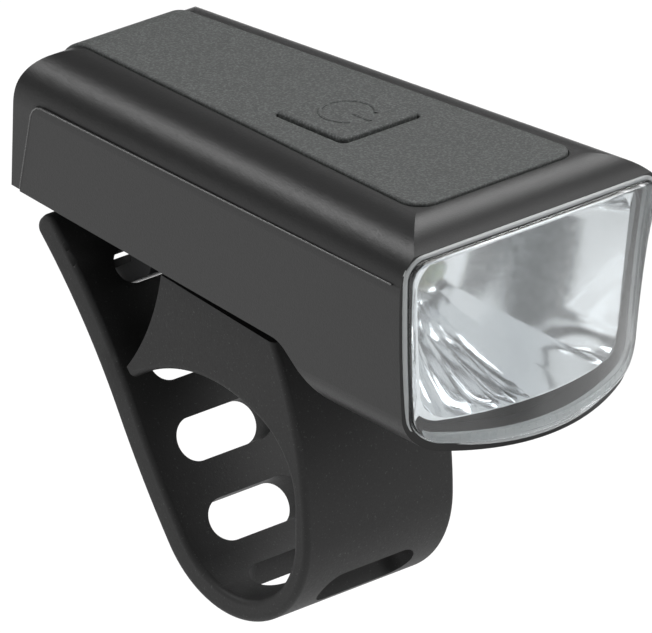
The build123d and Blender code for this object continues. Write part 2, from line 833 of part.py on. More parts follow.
with BuildPart() as strap_saddle:
    with BuildSketch(Plane.YZ) as profile:
        with BuildLine():
            ThreePointArc(seam_inner, on_circle(bar_radius, 90 + split_angle / 2), (-bar_radius, 0))
            Line((-bar_radius, 0), (-bar_radius, saddle_front_rise))
            ThreePointArc((-bar_radius, saddle_front_rise), saddle_shoulder_mid, saddle_shoulder)
            ThreePointArc(saddle_shoulder, saddle_arc_top, saddle_tail)
            Line(saddle_tail, saddle_tail_tip)
            ThreePointArc(saddle_tail_tip, saddle_rear_mid, saddle_rear_top)
            Line(saddle_rear_top, saddle_front_top)
            leg_top = TangentArc((-bar_radius - front_wall, 0), saddle_front_top, tangent=(0, 1))
            ThreePointArc((-bar_radius - front_wall, 0),
                          on_circle(outer_radius, 90 + split_angle / 2, outer_shift), seam_outer)
            Line(seam_outer, seam_inner)
        make_face()
    extrude(amount=strap_width / 2, both=True)
    for angle in loop_slot_angles:
        spoke = on_circle(1, angle)
        add(slot_cutter(offset_point((0, 0), spoke, bar_radius + bottom_wall / 2), spoke,
                        slot_length, slot_height), mode=Mode.SUBTRACT)
    with BuildSketch(Plane.XY.offset(saddle_front_top[1] - keel_depth - soft_gap)):
        with Locations((0, keel_y)):
            RectangleRounded(keel_width + 2 * fit_gap, keel_length + 2 * fit_gap, cell_round)
    extrude(amount=section_reach, mode=Mode.SUBTRACT)
    fillet(side_edges(strap_saddle, bar_radius + front_wall, outer_radius), strap_edge_round)
strap_saddle.part.label = "strap_saddle"

with BuildPart() as strap_tail:
    with BuildSketch(Plane.YZ) as profile:
        with BuildLine():
            ThreePointArc(seam_inner, on_circle(bar_radius, bend_middle), bend_inner)
            TangentArc(bend_inner, leg_mid, tangent=leg_start_tangent)
            TangentArc(leg_mid, leg_end, tangent=leg_mid_tangent)
            Line(leg_end, leg_end_outer)
            TangentArc(leg_mid_outer, leg_end_outer, tangent=leg_mid_tangent)
            TangentArc(bend_outer, leg_mid_outer, tangent=leg_start_tangent)
            ThreePointArc(seam_outer, on_circle(outer_radius, bend_middle, outer_shift), bend_outer)
            Line(seam_outer, seam_inner)
        make_face()
        fillet(profile.vertices().sort_by(Axis.Y)[-2:], tail_round)
    extrude(amount=strap_width / 2, both=True)
    leg_slots = [(first_slot_reach + count * slot_pitch, slot_length, slot_height)
                 for count in range(leg_slot_count)]
    for reach, length, height in leg_slots + [(hook_slot_reach, hook_slot_length, hook_slot_height)]:
        arc, along = (leg_lower, reach) if reach < leg_lower.length else (leg_upper, reach - leg_lower.length)
        origin = arc.position_at(along, position_mode=PositionMode.LENGTH)
        direction = arc.tangent_at(along, position_mode=PositionMode.LENGTH)
        normal = (direction.Y, -direction.X)
        add(slot_cutter(offset_point((origin.X, origin.Y), normal, leg_wall / 2), normal,
                        length, height), mode=Mode.SUBTRACT)
    fillet(side_edges(strap_tail, outer_radius, strap_width + leg_end[0]), strap_edge_round)
strap_tail.part.label = "strap_tail"
hook_center = offset_point((origin.X, origin.Y), normal, leg_wall / 2)

# Mount plate under the cover, with a keel in the saddle and the hook that holds the strap
swing = (hook_center[1] - seam_outer[1], seam_outer[0] - hook_center[0])
swing_length = hypot(*swing)
hook_out = (swing[0] / swing_length, swing[1] / swing_length)
hook_up = (-hook_out[1], hook_out[0])


def hook_point(out, up):
    """A point on the hook, along its neck and across it."""
    return offset_point(offset_point(hook_center, hook_out, out), hook_up, up)


with BuildPart() as mount_plate:
    with BuildSketch(Plane.YZ):
        front_y, front_z = saddle_front_top
        Polygon((front_y, front_z), saddle_rear_top, (saddle_rear_top[0], saddle_rear_top[1]),
                (plate_rear_y, bottom_line(plate_rear_y) - plate_thickness),
                (plate_rear_y, bottom_line(plate_rear_y)), (front_y, bottom_line(front_y)), align=None)
    extrude(amount=plate_half_width, both=True)
    with BuildSketch(Plane.XY.offset(saddle_front_top[1] - keel_depth)):
        with Locations((0, keel_y)):
            RectangleRounded(keel_width, keel_length, cell_round)
    extrude(amount=keel_depth + plate_thickness)
    with BuildSketch(Plane.YZ):
        low = -hook_drop - hook_thickness / 2
        high = -hook_drop + hook_thickness / 2
        Polygon(hook_point(-hook_root, low), hook_point(hook_reach, low),
                hook_point(hook_reach, high + hook_lip),
                hook_point(hook_reach - hook_lip_thickness, high + hook_lip),
                hook_point(hook_reach - hook_lip_thickness, high), hook_point(-leg_wall, high),
                (plate_rear_y, bottom_line(plate_rear_y) - plate_thickness),
                (plate_rear_y, bottom_line(plate_rear_y) - plate_thickness / 2),
                (plate_rear_y - hook_root, bottom_line(plate_rear_y) - plate_thickness / 2), align=None)
    extrude(amount=hook_width / 2, both=True)
    for y in plate_screws_at:
        foot = bottom_line(y)
        with BuildSketch(Plane.XY.offset(foot - plate_thickness / 2)):
            with Locations((0, y)):
                Circle(screw_head_radius + fit_gap)
        extrude(amount=-section_reach, mode=Mode.SUBTRACT)
        with BuildSketch(Plane.XY.offset(foot - plate_thickness)):
            with Locations((0, y)):
                Circle(bore_radius)
        extrude(amount=section_reach, mode=Mode.SUBTRACT)
mount_plate.part.label = "mount_plate"

with BuildPart() as plate_screws:
    for y in plate_screws_at:
        add(screw(bottom_line(y) - plate_thickness / 2 - screw_head_height, 0, y,
                  plate_thickness / 2 + plate_screw_grip - fit_gap))
plate_screws.part.label = "plate_screws"

pieces = [main_housing, bottom_cover, cover_seal, cover_screws, lens, lens_gasket, reflector, led_board,
          led_emitter, heat_sink, engine_screws, main_board, board_screws, driver_chip, driver_coil,
          tact_switch, switch_plunger, charge_led, usb_port, battery_pad, battery_cell, battery_leads,
          led_connector, led_leads, top_pad, usb_flap, power_button,
          strap_saddle, strap_tail, mount_plate, plate_screws]
for piece in pieces:
    print(piece.part.label, len(piece.part.solids()), round(piece.part.volume, 1))
    export_step(piece.part, f"parts/{piece.part.label}.step")
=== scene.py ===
from math import cos, hypot, pi, radians, sin

import bmesh
import bpy
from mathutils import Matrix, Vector
from mathutils.geometry import convex_hull_2d


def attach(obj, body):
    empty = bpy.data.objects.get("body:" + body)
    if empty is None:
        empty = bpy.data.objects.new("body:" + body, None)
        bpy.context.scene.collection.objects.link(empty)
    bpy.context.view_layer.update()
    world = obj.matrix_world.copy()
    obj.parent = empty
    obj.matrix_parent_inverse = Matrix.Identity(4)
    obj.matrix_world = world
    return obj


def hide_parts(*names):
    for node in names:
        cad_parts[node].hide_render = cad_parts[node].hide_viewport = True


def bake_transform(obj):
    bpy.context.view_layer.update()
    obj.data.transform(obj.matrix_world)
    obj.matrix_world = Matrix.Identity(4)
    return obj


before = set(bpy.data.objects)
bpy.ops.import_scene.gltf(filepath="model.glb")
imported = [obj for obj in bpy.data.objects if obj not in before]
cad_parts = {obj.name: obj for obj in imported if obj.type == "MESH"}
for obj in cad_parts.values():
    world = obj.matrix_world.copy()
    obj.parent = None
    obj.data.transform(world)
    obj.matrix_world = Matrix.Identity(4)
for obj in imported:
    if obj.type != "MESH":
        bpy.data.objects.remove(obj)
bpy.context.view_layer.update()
MM = 0.001

# Camera: seen from the front left and a little above, from far off, as the catalogue view is
AIM = Vector((0.0, -0.0035, 0.0239))
TOWARD_CAMERA = Vector((-0.617, -0.678, 0.399))
CAMERA_DISTANCE = 1.3
LENS_PER_METRE = 451.7
FLOOR_Z = -0.058

camera_data = bpy.data.cameras.new("catalogue_view")
camera_data.lens = LENS_PER_METRE * CAMERA_DISTANCE
camera_data.sensor_width = 36.0
camera_data.clip_end = 20.0
camera = bpy.data.objects.new("catalogue_view", camera_data)
bpy.context.scene.collection.objects.link(camera)
camera.location = AIM + TOWARD_CAMERA.normalized() * CAMERA_DISTANCE
camera.rotation_euler = TOWARD_CAMERA.to_track_quat("Z", "Y").to_euler()
bpy.context.scene.camera = camera
bpy.context.scene.view_settings.view_transform = "Standard"


def linear(hex_colour):
    """An sRGB hex colour as linear RGBA."""
    channels = [int(hex_colour[i:i + 2], 16) / 255 for i in (1, 3, 5)]
    return [c / 12.92 if c <= 0.04045 else ((c + 0.055) / 1.055) ** 2.4 for c in channels] + [1.0]


def put(tree, kind, links=(), **settings):
    """Adds a node with its settings; links are (source socket, input name or number)."""
    node = tree.nodes.new(kind)
    for name, value in settings.items():
        if name.startswith("in_"):
            key = name[3:]
            node.inputs[int(key) if key.isdigit() else key.replace("_", " ")].default_value = value
        else:
            setattr(node, name, value)
    for source, target in links:
        tree.links.new(source, node.inputs[target])
    return node


# Grain of the finishes: scales of tint and flecks in mm, the part of the noise that shows as gloss, its
# reach below and above the stated roughness, and the width of a fleck's soft edge
TINT_MM = 6.0
FLECK_MM = 0.28
GRAIN_LOW, GRAIN_HIGH = 0.25, 0.75
SMOOTHER, ROUGHER = 0.05, 0.06
FLECK_EDGE = 0.12


def bare_material(name):
    """A material with its shader, ready for its pattern."""
    material = bpy.data.materials.new(name)
    material.use_nodes = True
    tree = material.node_tree
    tree.nodes.clear()
    shader = put(tree, "ShaderNodeBsdfPrincipled")
    put(tree, "ShaderNodeOutputMaterial", [(shader.outputs[0], "Surface")])
    place = put(tree, "ShaderNodeTexCoord").outputs["Object"]
    return material, tree, shader, place


def grained(name, base, rough, grain_mm, relief_mm, tint=0.12, fleck=None, fleck_share=0.42,
            metallic=0.0, stretch=(1, 1, 1), **sockets):
    """A surface with fine grain in relief and roughness, slow changes of tint, and flecks if any."""
    material, tree, shader, place = bare_material(name)
    if stretch != (1, 1, 1):
        place = put(tree, "ShaderNodeMapping", [(place, "Vector")], in_Scale=stretch).outputs[0]
    grain = put(tree, "ShaderNodeTexNoise", [(place, "Vector")], in_Scale=1 / (grain_mm * MM),
                in_Detail=2.0, in_Roughness=0.6)
    slow = put(tree, "ShaderNodeTexNoise", [(place, "Vector")], in_Scale=1 / (TINT_MM * MM),
               in_Detail=3.0)
    dark = [c * (1 - tint) for c in linear(base)[:3]] + [1.0]
    light = [min(1.0, c * (1 + tint)) for c in linear(base)[:3]] + [1.0]
    colour = put(tree, "ShaderNodeMix", [(slow.outputs["Fac"], 0)], data_type="RGBA", in_6=dark,
                 in_7=light)
    tone = colour.outputs[2]
    if fleck:
        spots = put(tree, "ShaderNodeTexNoise", [(place, "Vector")], in_Scale=1 / (FLECK_MM * MM),
                    in_Detail=1.0)
        mask = put(tree, "ShaderNodeMapRange", [(spots.outputs["Fac"], "Value")],
                   in_From_Min=1 - fleck_share, in_From_Max=1 - fleck_share + FLECK_EDGE)
        mixed = put(tree, "ShaderNodeMix", [(mask.outputs[0], 0), (tone, 6)], data_type="RGBA",
                    in_7=linear(fleck))
        tone = mixed.outputs[2]
    tree.links.new(tone, shader.inputs["Base Color"])
    gloss = put(tree, "ShaderNodeMapRange", [(grain.outputs["Fac"], "Value")], in_From_Min=GRAIN_LOW,
                in_From_Max=GRAIN_HIGH, in_To_Min=rough - SMOOTHER, in_To_Max=rough + ROUGHER)
    tree.links.new(gloss.outputs[0], shader.inputs["Roughness"])
    relief = put(tree, "ShaderNodeBump", [(grain.outputs["Fac"], "Height")], in_Strength=1.0,
                 in_Distance=relief_mm * MM)
    tree.links.new(relief.outputs[0], shader.inputs["Normal"])
    shader.inputs["Metallic"].default_value = metallic
    for socket, value in sockets.items():
        shader.inputs[socket.replace("_", " ")].default_value = value
    return material


# ABS, moulded against a spark-eroded tool: satin black with a very fine grain
satin_abs = grained("satin_moulded_abs", "#141414", 0.38, 0.24, 0.016, tint=0.06, IOR=1.52,
                    Specular_IOR_Level=0.34)
# Glass-filled nylon, moulded: duller black, slightly coarser
filled_nylon = grained("glass_filled_nylon", "#1f1f20", 0.5, 0.35, 0.02, tint=0.1, IOR=1.53)
# Silicone rubber, compression moulded: matte, with a grain as fine as dust
strap_rubber = grained("matte_silicone_rubber", "#1b1b1b", 0.58, 0.3, 0.02, tint=0.1, IOR=1.43,
                       fleck="#3a3a3a", fleck_share=0.34)
# Soft TPE with an eroded texture: greyer, with bright specks painted into its colour as glints where the
# grain catches light
pad_rubber = grained("textured_soft_tpe", "#313332", 0.6, 0.32, 0.045, tint=0.06, IOR=1.48,
                     fleck="#474a49", fleck_share=0.5)
# The key's TPE, with the same painted glints in its lighter specks
key_rubber = grained("textured_key_tpe", "#303231", 0.6, 0.32, 0.04, tint=0.06, IOR=1.48,
                     fleck="#4a4d4c", fleck_share=0.5)
# Polycarbonate, polished and clear: sharp reflections and bright edges
clear_lens = grained("clear_polycarbonate", "#f6f9fa", 0.055, 1.2, 0.0004, tint=0.01, IOR=1.585,
                     Transmission_Weight=1.0)
# The same clear plastic in the bead round the lens, made paler in colour: a painted highlight for the
# light its clear edge gathers
rim_painted_highlight = grained("polycarbonate_painted_rim_highlight", "#d5d9da", 0.1, 1.0, 0.002, tint=0.03, IOR=1.585,
                    Transmission_Weight=0.55)
# Polycarbonate with vacuum-deposited aluminium: a soft mirror
mirror = grained("vacuum_metallised_aluminium", "#f0f1f2", 0.1, 0.9, 0.0006, tint=0.02, metallic=1.0)
# Steel, cold headed and zinc plated: bright with faint turning marks
zinc_steel = grained("zinc_plated_steel", "#b9bcbf", 0.3, 0.25, 0.006, metallic=1.0, stretch=(1, 1, 6))
tin_steel = grained("drawn_tin_plated_steel", "#c9cbcc", 0.25, 0.3, 0.004, metallic=1.0,
                    stretch=(6, 1, 6))
# Aluminium, extruded and anodised clear
sink_metal = grained("anodised_aluminium", "#a9acae", 0.42, 0.2, 0.006, metallic=1.0, stretch=(1, 6, 1))
# Circuit boards: glass epoxy under green lacquer, and an aluminium core under white lacquer
board_lacquer = grained("green_solder_mask", "#1e5a34", 0.3, 0.6, 0.012, tint=0.15, fleck="#2d7a49",
                        fleck_share=0.42, IOR=1.5)
lamp_board_lacquer = grained("white_solder_mask", "#dedfda", 0.35, 0.5, 0.008, tint=0.03, IOR=1.5)
# Epoxy moulding compound on chips and switches
package_epoxy = grained("black_moulding_compound", "#232325", 0.55, 0.2, 0.01, tint=0.08)
# Sintered ferrite
coil_ferrite = grained("sintered_ferrite", "#3b3a3c", 0.65, 0.3, 0.02, tint=0.15)
# Phosphor under silicone, and the small clear-bodied indicator
lamp_phosphor = grained("phosphor_under_silicone", "#dedac8", 0.22, 0.3, 0.003, tint=0.04, IOR=1.41,
                        Subsurface_Weight=0.2)
indicator_body = grained("milky_led_package", "#e6e3d2", 0.3, 0.3, 0.004, tint=0.04)
# Foil pouch round the cell, closed-cell foam under it
cell_foil = grained("laminated_foil_pouch", "#9fa3a8", 0.32, 1.4, 0.05, tint=0.06, metallic=0.9)
foam = grained("closed_cell_foam", "#2d2d30", 0.9, 0.5, 0.08, tint=0.2)
seal_rubber = grained("black_epdm_seal", "#1a1a1b", 0.6, 0.3, 0.012, tint=0.1)
# Pale silicone under the lens rim, which brightens the rim from behind
lens_silicone = grained("pale_moulded_silicone", "#a9adae", 0.4, 0.3, 0.006, tint=0.04, IOR=1.41)
# The same ABS, glossier and lighter in colour: a painted highlight along the side panels' ledge
highlight_painted_abs = grained("abs_with_painted_edge_highlight", "#4c4c4c", 0.25, 0.3, 0.003, tint=0.06, IOR=1.52)
# PVC insulation, extruded, and a natural nylon plug
lead_pvc = grained("extruded_pvc_insulation", "#a3262a", 0.4, 0.4, 0.006, tint=0.08)
plug_nylon = grained("natural_nylon", "#d8d3c3", 0.42, 0.4, 0.01, tint=0.05)

node_finishes = {
    "main_housing": satin_abs, "bottom_cover": satin_abs, "cover_seal": seal_rubber,
    "cover_screws": zinc_steel, "lens": clear_lens, "lens_gasket": lens_silicone, "reflector": mirror,
    "led_board": lamp_board_lacquer, "led_emitter": lamp_phosphor, "heat_sink": sink_metal,
    "engine_screws": zinc_steel, "main_board": board_lacquer, "board_screws": zinc_steel,
    "driver_chip": package_epoxy, "driver_coil": coil_ferrite, "tact_switch": package_epoxy,
    "switch_plunger": plug_nylon, "charge_led": indicator_body, "usb_port": tin_steel,
    "battery_pad": foam, "battery_cell": cell_foil, "battery_leads": lead_pvc,
    "led_connector": plug_nylon, "led_leads": lead_pvc, "top_pad": pad_rubber, "usb_flap": pad_rubber,
    "power_button": key_rubber, "strap_saddle": strap_rubber, "strap_tail": strap_rubber,
    "mount_plate": filled_nylon, "plate_screws": zinc_steel,
}
for node_name, finish in node_finishes.items():
    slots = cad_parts[node_name].data.materials
    if len(slots) == 0:
        slots.append(finish)
    for index in range(len(slots)):
        slots[index] = finish

# The clear lens lets the lamps light what is behind it
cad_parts["lens"].visible_shadow = False


def new_piece(name, mesh, finish):
    """A mesh as an object of the scene with its finish."""
    piece = bpy.data.objects.new(name, mesh)
    bpy.context.scene.collection.objects.link(piece)
    if finish and len(mesh.materials) == 0:
        mesh.materials.append(finish)
    return piece


def smooth_by_angle(form, limit):
    """Smooth shading with the edges above the angle kept sharp."""
    for face in form.faces:
        face.smooth = True
    for edge in form.edges:
        edge.smooth = len(edge.link_faces) == 2 and edge.calc_face_angle(0) < limit


# Doubles closer than this are merged, in metres, and edges above this angle stay sharp
WELD = 2e-6
SHARP = radians(32)


def merged_copy(name, node_name, finish):
    """A copy of a CAD node's surface with its doubles merged, to be shaped further."""
    form = bmesh.new()
    form.from_mesh(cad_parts[node_name].data)
    bmesh.ops.remove_doubles(form, verts=form.verts, dist=WELD)
    smooth_by_angle(form, SHARP)
    mesh = bpy.data.meshes.new(name)
    form.to_mesh(mesh)
    form.free()
    return new_piece(name, mesh, finish)


# Strap tail: a copy of the CAD tail with its doubles merged, in place of the tail node. In metres.
strap_band = merged_copy("strap_band", "strap_tail", strap_rubber)
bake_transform(strap_band)
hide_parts("strap_tail")

# Reflector cup: a funnel of flat facets from the lamp to the opening, with channels low on the near side.
# Lengths are in mm. FLARE and RIM_ROUNDING are powers, and the two channel fades are shares of the rise.
LAMP_Z = 36.6
CUP_BACK_Y = -20.75
MOUTH_RADIUS = 2.7
CUP_HALF_TOP = 17.6
CUP_HALF_FOOT = 15.4
CUP_TOP_Z = 46.9
CUP_FOOT_Z = 25.95
CUP_CORNER = 3.4
CUP_WALL = 0.5
FLARE = 1.5
FLANGE = 1.25
FLANGE_DROP = 0.15
CHANNEL_DEPTH = 0.65
CHANNEL_FADE_IN = 0.3
CHANNEL_FADE_OUT = 0.12
RIM_ROUNDING = 6
FACET_EDGE = radians(16)
TURN_STEPS = 360
RISE_STEPS = 30
FAR_REACH = 40.0
HALVINGS = 28


def opening_radius(angle, grow=0.0):
    """Distance from the lamp axis to the cup's rim, or to its flange, in one direction, in mm."""
    across, up = cos(angle), sin(angle)
    near, far = 0.0, FAR_REACH
    for _ in range(HALVINGS):
        middle = (near + far) / 2
        x, z = abs(across * middle), LAMP_Z + up * middle
        share = (z - CUP_FOOT_Z) / (CUP_TOP_Z - CUP_FOOT_Z)
        half = CUP_HALF_FOOT + (CUP_HALF_TOP - CUP_HALF_FOOT) * share + grow
        foot = CUP_FOOT_Z - min(grow, FLANGE_DROP)
        dx = max(0.0, x - (half - CUP_CORNER))
        dz = max(0.0, z - (CUP_TOP_Z + grow - CUP_CORNER), (foot + CUP_CORNER) - z)
        if hypot(dx, dz) > CUP_CORNER:
            far = middle
        else:
            near = middle
    return near


# Back of the gasket, in mm: straight along the top, ahead at the foot's middle and behind at its corners
GASKET_TOP_Z = 48.95
GASKET_HEIGHT = 31.05
GASKET_TOP_Y = -37.9
FOOT_AHEAD = 3.6
CORNER_BEHIND = 7.8
CORNER_X = 24.0


def front_station(x, z):
    """Station of the back of the gasket, which the cup's rim follows, in mm."""
    drop = min(1.0, max(0.0, (GASKET_TOP_Z - z) / GASKET_HEIGHT))
    bow = FOOT_AHEAD * drop - (FOOT_AHEAD + CORNER_BEHIND) * drop * (x / CORNER_X) ** 2
    return GASKET_TOP_Y - bow


def funnel_point(turn, rise):
    """The smooth funnel that the facets are cut from: turn in degrees, rise 0 to 1 up to the rim."""
    angle = radians(turn)
    wall = opening_radius(angle)
    radius = MOUTH_RADIUS + (wall - MOUTH_RADIUS) * rise
    rim_y = front_station(wall * cos(angle), LAMP_Z + wall * sin(angle))
    y = CUP_BACK_Y + (rim_y - CUP_BACK_Y) * rise ** FLARE
    return Vector((radius * cos(angle), y, LAMP_Z + radius * sin(angle)))


# Facets round the lamp: first and last degree, tilt in mm, and whether it is a hollow channel
facets = [
    (-42, 26, 0.5, False), (26, 60, -0.5, False), (60, 120, 0.0, False), (120, 154, 0.5, False),
    (154, 204, -0.5, False), (204, 217, 0, True), (217, 229, 0, True), (229, 240, 0, True),
    (240, 251, 0, True), (251, 263, 0, True), (263, 294, 0.6, False), (294, 318, -0.8, False),
]


def cup_point(turn, rise):
    """A point of the cup: flat across each facet, round again at the rim."""
    for low, high, tilt, hollow in facets:
        if low <= (turn - low) % 360 + low < high:
            break
    share = ((turn - low) % 360) / (high - low)
    chord = funnel_point(low, rise).lerp(funnel_point(high, rise), share)
    point = funnel_point(turn, rise).lerp(chord, 1 - rise ** RIM_ROUNDING)
    point.y += tilt * (share - 0.5) * sin(pi * rise)
    if hollow:
        fade = min(1.0, rise / CHANNEL_FADE_IN, (1 - rise) / CHANNEL_FADE_OUT)
        depth = CHANNEL_DEPTH * sin(pi * share) * sin(pi / 2 * fade)
        point.y += depth
        point.z -= depth
    return point


form = bmesh.new()
rings = []
for step in range(RISE_STEPS + 1):
    ring = [cup_point(360 * turn / TURN_STEPS, step / RISE_STEPS) for turn in range(TURN_STEPS)]
    rings.append([form.verts.new(point * MM) for point in ring])
flange = []
for turn in range(TURN_STEPS):
    angle = 2 * pi * turn / TURN_STEPS
    reach = opening_radius(angle, FLANGE)
    x, z = reach * cos(angle), LAMP_Z + reach * sin(angle)
    flange.append(form.verts.new(Vector((x, front_station(x, z), z)) * MM))
rings.append(flange)
for inner, outer in zip(rings, rings[1:]):
    for turn in range(TURN_STEPS):
        after = (turn + 1) % TURN_STEPS
        form.faces.new((inner[after], inner[turn], outer[turn], outer[after]))
form.normal_update()
if sum(face.normal.y for face in form.faces) > 0:
    bmesh.ops.reverse_faces(form, faces=form.faces)
smooth_by_angle(form, FACET_EDGE)
cup_mesh = bpy.data.meshes.new("reflector_cup")
form.to_mesh(cup_mesh)
form.free()
reflector_cup = new_piece("reflector_cup", cup_mesh, mirror)
wall_modifier = reflector_cup.modifiers.new("wall", "SOLIDIFY")
wall_modifier.thickness = CUP_WALL * MM
wall_modifier.offset = -1.0


def settle(piece):
    """Turns a piece's modifiers into plain mesh."""
    ready = piece.evaluated_get(bpy.context.evaluated_depsgraph_get())
    finished = bpy.data.meshes.new_from_object(ready)
    piece.modifiers.clear()
    piece.data = finished


settle(reflector_cup)
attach(reflector_cup, "housing")
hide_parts("reflector")


RIDGE_SIDES = 16


def raised_line_tree():
    """Geometry nodes that run a rounded ridge along a drawn line."""
    tree = bpy.data.node_groups.new("raised_line", "GeometryNodeTree")
    face = tree.interface
    face.new_socket("Line", in_out="INPUT", socket_type="NodeSocketGeometry")
    for label in ("Half width", "Height"):
        face.new_socket(label, in_out="INPUT", socket_type="NodeSocketFloat")
    face.new_socket("Finish", in_out="INPUT", socket_type="NodeSocketMaterial")
    face.new_socket("Ridge", in_out="OUTPUT", socket_type="NodeSocketGeometry")
    inlet = tree.nodes.new("NodeGroupInput").outputs
    ring = put(tree, "GeometryNodeCurvePrimitiveCircle", in_Resolution=RIDGE_SIDES, in_Radius=1.0)
    size = put(tree, "ShaderNodeCombineXYZ", [(inlet["Half width"], "X"), (inlet["Height"], "Y")],
               in_Z=1.0)
    oval = put(tree, "GeometryNodeTransform", [(ring.outputs[0], "Geometry"), (size.outputs[0], "Scale")])
    path = put(tree, "GeometryNodeMeshToCurve", [(inlet["Line"], "Mesh")])
    level = put(tree, "GeometryNodeSetCurveNormal", [(path.outputs[0], "Curve")], mode="Z_UP")
    swept = put(tree, "GeometryNodeCurveToMesh",
                [(level.outputs[0], "Curve"), (oval.outputs[0], "Profile Curve")], in_Fill_Caps=True)
    plain = put(tree, "GeometryNodeRealizeInstances", [(swept.outputs[0], "Geometry")])
    dressed = put(tree, "GeometryNodeSetMaterial",
                  [(plain.outputs[0], "Geometry"), (inlet["Finish"], "Material")])
    put(tree, "NodeGroupOutput", [(dressed.outputs[0], "Ridge")])
    return tree


def drawn_line(name, lines, half_width, height, finish, body):
    """A ridge along drawn lines of points in mm, as a piece of its own."""
    drawn = bmesh.new()
    for points in lines:
        corners = [drawn.verts.new(Vector(point) * MM) for point in points]
        for first, second in zip(corners, corners[1:]):
            drawn.edges.new((first, second))
    mesh = bpy.data.meshes.new(name)
    drawn.to_mesh(mesh)
    drawn.free()
    piece = new_piece(name, mesh, None)
    ridge = piece.modifiers.new("ridge", "NODES")
    ridge.node_group = line_tree
    inputs = {item.name: item.identifier for item in line_tree.interface.items_tree
              if item.in_out == "INPUT"}
    ridge[inputs["Half width"]] = half_width * MM
    ridge[inputs["Height"]] = height * MM
    ridge[inputs["Finish"]] = finish
    settle(piece)
    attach(piece, body)
    return piece


line_tree = raised_line_tree()

# Power sign on the key, in mm and degrees: a ring open toward the front, with a short bar in it
KEY_CENTER = (0.0, -7.4)
KEY_TOP_Z = 52.2
RING_RADIUS = 3.45
RING_OPENING = 38
RING_POINTS = 48
BAR_SPAN = (1.0, 4.1)
SIGN_HALF_WIDTH = 0.3
SIGN_HEIGHT = 0.14
ring_points = []
for index in range(RING_POINTS + 1):
    angle = radians(-90 + RING_OPENING + (360 - 2 * RING_OPENING) * index / RING_POINTS)
    ring_points.append((KEY_CENTER[0] + RING_RADIUS * cos(angle),
                        KEY_CENTER[1] + RING_RADIUS * sin(angle), KEY_TOP_Z))
bar_points = [(KEY_CENTER[0], KEY_CENTER[1] - reach, KEY_TOP_Z) for reach in BAR_SPAN]
drawn_line("power_sign", [ring_points, bar_points], SIGN_HALF_WIDTH, SIGN_HEIGHT, key_rubber,
           "power_button")

# Bead moulded round the lens, in mm: a clear round rim between the window and the housing's frame. It
# follows the lens's outline, overlaps its edge by the negative gap, and stands on the front of the frame,
# which lies ahead of the gasket's back.
BEAD_RADIUS = 0.37
BEAD_GAP = -0.13
BEAD_STEP = 1.0
FRAME_AHEAD = 1.84
lens_points = [(v.co.x / MM, v.co.z / MM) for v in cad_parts["lens"].data.vertices]
outline = [Vector(lens_points[index]) for index in convex_hull_2d(lens_points)]
outline_center = Vector((0.0, LAMP_Z))
bead_path = []
for before, corner, after in zip(outline[-1:] + outline[:-1], outline, outline[1:] + outline[:1]):
    along = (after - before).normalized()
    outward = Vector((along.y, -along.x))
    if outward.dot(corner - outline_center) < 0:
        outward = -outward
    x, z = corner + outward * (BEAD_RADIUS + BEAD_GAP)
    bead_path.append((x, front_station(x, z) - FRAME_AHEAD - BEAD_RADIUS, z))
bead_line = []
for first, second in zip(bead_path, bead_path[1:] + bead_path[:1]):
    steps = max(1, round((Vector(second) - Vector(first)).length / BEAD_STEP))
    for step in range(steps):
        x = first[0] + (second[0] - first[0]) * step / steps
        z = first[2] + (second[2] - first[2]) * step / steps
        bead_line.append((x, front_station(x, z) - FRAME_AHEAD - BEAD_RADIUS, z))
# The bead's paler finish is a painted highlight along the lens's edge
drawn_line("lens_bead", [bead_line + bead_line[:1]], BEAD_RADIUS, BEAD_RADIUS, rim_painted_highlight, "housing")

# Raised side panels, in mm: half width at the front's top line, how much they narrow over their length,
# and how far they lean out per mm of height
PANEL_TOP_Z = 45.2
PANEL_FRONT_Y = -40.2
PANEL_LENGTH = 79.6
PANEL_HALF_FRONT = 21.1
PANEL_NARROWS = 5.8
PANEL_LEAN = 0.1


def side_station(y, z):
    """Half width of the housing's side panel at one station and height, in mm."""
    narrowed = PANEL_HALF_FRONT - PANEL_NARROWS * (y - PANEL_FRONT_Y) / PANEL_LENGTH
    return narrowed + PANEL_LEAN * (z - PANEL_TOP_Z)


# Border of the side panels, lighter in colour as a painted highlight, in mm: along the top line, round the
# corner and down the rear
BORDER_FRONT_Y = -38.0
BORDER_TOP_LENGTH = 69.1
BORDER_TOP_STEPS = 24
BORDER_CORNER = [(31.1, 45.2), (32.0, 45.0), (32.8, 44.4), (33.35, 43.6)]
BORDER_REAR_RUN = (3.9, -11.4)
BORDER_REAR_STEPS = 8
BORDER_SINK = 0.03
BORDER_RADIUS = 0.11
border_path = [(BORDER_FRONT_Y + BORDER_TOP_LENGTH * index / BORDER_TOP_STEPS, PANEL_TOP_Z)
               for index in range(BORDER_TOP_STEPS)]
border_path += BORDER_CORNER
corner_y, corner_z = BORDER_CORNER[-1]
for index in range(1, BORDER_REAR_STEPS + 1):
    border_path.append((corner_y + BORDER_REAR_RUN[0] * index / BORDER_REAR_STEPS,
                        corner_z + BORDER_REAR_RUN[1] * index / BORDER_REAR_STEPS))
for side, name in ((-1, "panel_border_left"), (1, "panel_border_right")):
    border = [(side * (side_station(y, z) - BORDER_SINK), y, z) for y, z in border_path]
    drawn_line(name, [border], BORDER_RADIUS, BORDER_RADIUS, highlight_painted_abs, "housing")

